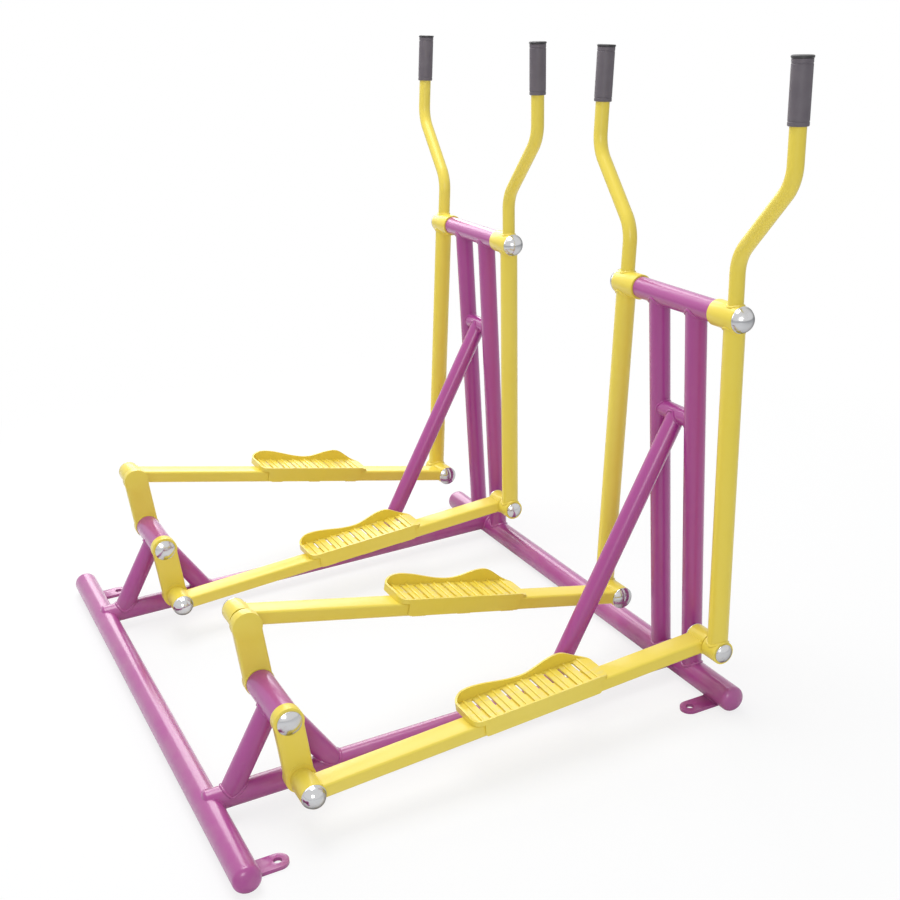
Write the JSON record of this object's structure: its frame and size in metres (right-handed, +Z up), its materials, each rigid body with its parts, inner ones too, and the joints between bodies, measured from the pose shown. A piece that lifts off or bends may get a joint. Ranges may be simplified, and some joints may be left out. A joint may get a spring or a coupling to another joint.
{
  "type": "double elliptical trainer",
  "caption": "Outdoor elliptical trainer with two side-by-side stations on shared cross tubes, with cranks, pedal bars and swinging hand levers.",
  "frame": {"origin": "on the ground under the middle of the whole trainer", "axes": "+X across the two stations to the right user, +Y the way the users face, +Z up"},
  "size_m": [1.738, 1.2835, 1.4585],
  "materials": {
    "purple_paint": "glossy powder coat",
    "yellow_paint": "glossy powder coat",
    "grip_rubber": "matt, finely grooved",
    "polished_caps": "polished",
    "bare_steel": "turned"
  },
  "bodies": {
    "frame": {"rear_cross_tube": "purple_paint", "front_cross_tube": "purple_paint", "tube_end_caps": "purple_paint", "anchor_ears": "purple_paint", "base_beams": "purple_paint", "crank_legs": "purple_paint", "top_shafts": "bare_steel", "frame_bearings": "bare_steel", "st1_posts": "purple_paint", "st1_top_tube": "purple_paint", "st1_brace": "purple_paint", "st1_crank_housing": "purple_paint", "st2_posts": "purple_paint", "st2_top_tube": "purple_paint", "st2_brace": "purple_paint", "st2_crank_housing": "purple_paint"},
    "st1_crank": {"st1_crank_axle": "bare_steel", "st1_crank_arms": "yellow_paint", "st1_crank_pins": "bare_steel", "st1_crank_caps": "polished_caps"},
    "st1_left_bar": {"st1_left_pedal_bar": "yellow_paint", "st1_left_pedal": "yellow_paint", "st1_left_bar_bearings": "bare_steel", "st1_left_bar_caps": "polished_caps"},
    "st1_left_lever_body": {"st1_left_lever": "yellow_paint", "st1_left_handle": "yellow_paint", "st1_left_grip": "grip_rubber", "st1_left_lever_bearings": "bare_steel", "st1_left_lever_caps": "polished_caps"},
    "st1_right_bar": {"st1_right_pedal_bar": "yellow_paint", "st1_right_pedal": "yellow_paint", "st1_right_bar_bearings": "bare_steel", "st1_right_bar_caps": "polished_caps"},
    "st1_right_lever_body": {"st1_right_lever": "yellow_paint", "st1_right_handle": "yellow_paint", "st1_right_grip": "grip_rubber", "st1_right_lever_bearings": "bare_steel", "st1_right_lever_caps": "polished_caps"},
    "st2_crank": {"st2_crank_axle": "bare_steel", "st2_crank_arms": "yellow_paint", "st2_crank_pins": "bare_steel", "st2_crank_caps": "polished_caps"},
    "st2_left_bar": {"st2_left_pedal_bar": "yellow_paint", "st2_left_pedal": "yellow_paint", "st2_left_bar_bearings": "bare_steel", "st2_left_bar_caps": "polished_caps"},
    "st2_left_lever_body": {"st2_left_lever": "yellow_paint", "st2_left_handle": "yellow_paint", "st2_left_grip": "grip_rubber", "st2_left_lever_bearings": "bare_steel", "st2_left_lever_caps": "polished_caps"},
    "st2_right_bar": {"st2_right_pedal_bar": "yellow_paint", "st2_right_pedal": "yellow_paint", "st2_right_bar_bearings": "bare_steel", "st2_right_bar_caps": "polished_caps"},
    "st2_right_lever_body": {"st2_right_lever": "yellow_paint", "st2_right_handle": "yellow_paint", "st2_right_grip": "grip_rubber", "st2_right_lever_bearings": "bare_steel", "st2_right_lever_caps": "polished_caps"}
  },
  "joints": [
    {"name": "st1_crank_turn", "type": "hinge", "parent": "frame", "child": "st1_crank", "pos_m": [0.49, -0.446, 0.237], "axis": [-1, 0, 0], "range_deg": [0, 90]},
    {"name": "st1_left_bar_turn", "type": "hinge", "parent": "st1_crank", "child": "st1_left_bar", "pos_m": [0.49, -0.45785, 0.37248], "axis": [-1, 0, 0], "range_deg": [-97.95, 0.5]},
    {"name": "st1_left_lever_swing", "type": "hinge", "parent": "frame", "child": "st1_left_lever_body", "pos_m": [0.49, 0.57, 0.93], "axis": [-1, 0, 0], "range_deg": [-12.9, 0.5]},
    {"name": "st1_right_bar_turn", "type": "hinge", "parent": "st1_crank", "child": "st1_right_bar", "pos_m": [0.49, -0.43415, 0.10152], "axis": [-1, 0, 0], "range_deg": [-84.41, 0.5]},
    {"name": "st1_right_lever_swing", "type": "hinge", "parent": "frame", "child": "st1_right_lever_body", "pos_m": [0.49, 0.57, 0.93], "axis": [-1, 0, 0], "range_deg": [-0.5, 11.52]},
    {"name": "st2_crank_turn", "type": "hinge", "parent": "frame", "child": "st2_crank", "pos_m": [-0.49, -0.446, 0.237], "axis": [-1, 0, 0], "range_deg": [0, 90]},
    {"name": "st2_left_bar_turn", "type": "hinge", "parent": "st2_crank", "child": "st2_left_bar", "pos_m": [-0.49, -0.45785, 0.37248], "axis": [-1, 0, 0], "range_deg": [-97.95, 0.5]},
    {"name": "st2_left_lever_swing", "type": "hinge", "parent": "frame", "child": "st2_left_lever_body", "pos_m": [-0.49, 0.57, 0.93], "axis": [-1, 0, 0], "range_deg": [-12.9, 0.5]},
    {"name": "st2_right_bar_turn", "type": "hinge", "parent": "st2_crank", "child": "st2_right_bar", "pos_m": [-0.49, -0.43415, 0.10152], "axis": [-1, 0, 0], "range_deg": [-84.41, 0.5]},
    {"name": "st2_right_lever_swing", "type": "hinge", "parent": "frame", "child": "st2_right_lever_body", "pos_m": [-0.49, 0.57, 0.93], "axis": [-1, 0, 0], "range_deg": [-0.5, 11.52]}
  ],
  "couplings": [
    {"joint": "st1_left_bar_turn", "follows": "st1_crank_turn", "ratio": -1.0828},
    {"joint": "st1_left_lever_swing", "follows": "st1_crank_turn", "ratio": -0.13783},
    {"joint": "st1_right_bar_turn", "follows": "st1_crank_turn", "ratio": -0.93238},
    {"joint": "st1_right_lever_swing", "follows": "st1_crank_turn", "ratio": 0.12249},
    {"joint": "st2_left_bar_turn", "follows": "st2_crank_turn", "ratio": -1.0828},
    {"joint": "st2_left_lever_swing", "follows": "st2_crank_turn", "ratio": -0.13783},
    {"joint": "st2_right_bar_turn", "follows": "st2_crank_turn", "ratio": -0.93238},
    {"joint": "st2_right_lever_swing", "follows": "st2_crank_turn", "ratio": 0.12249}
  ]
}
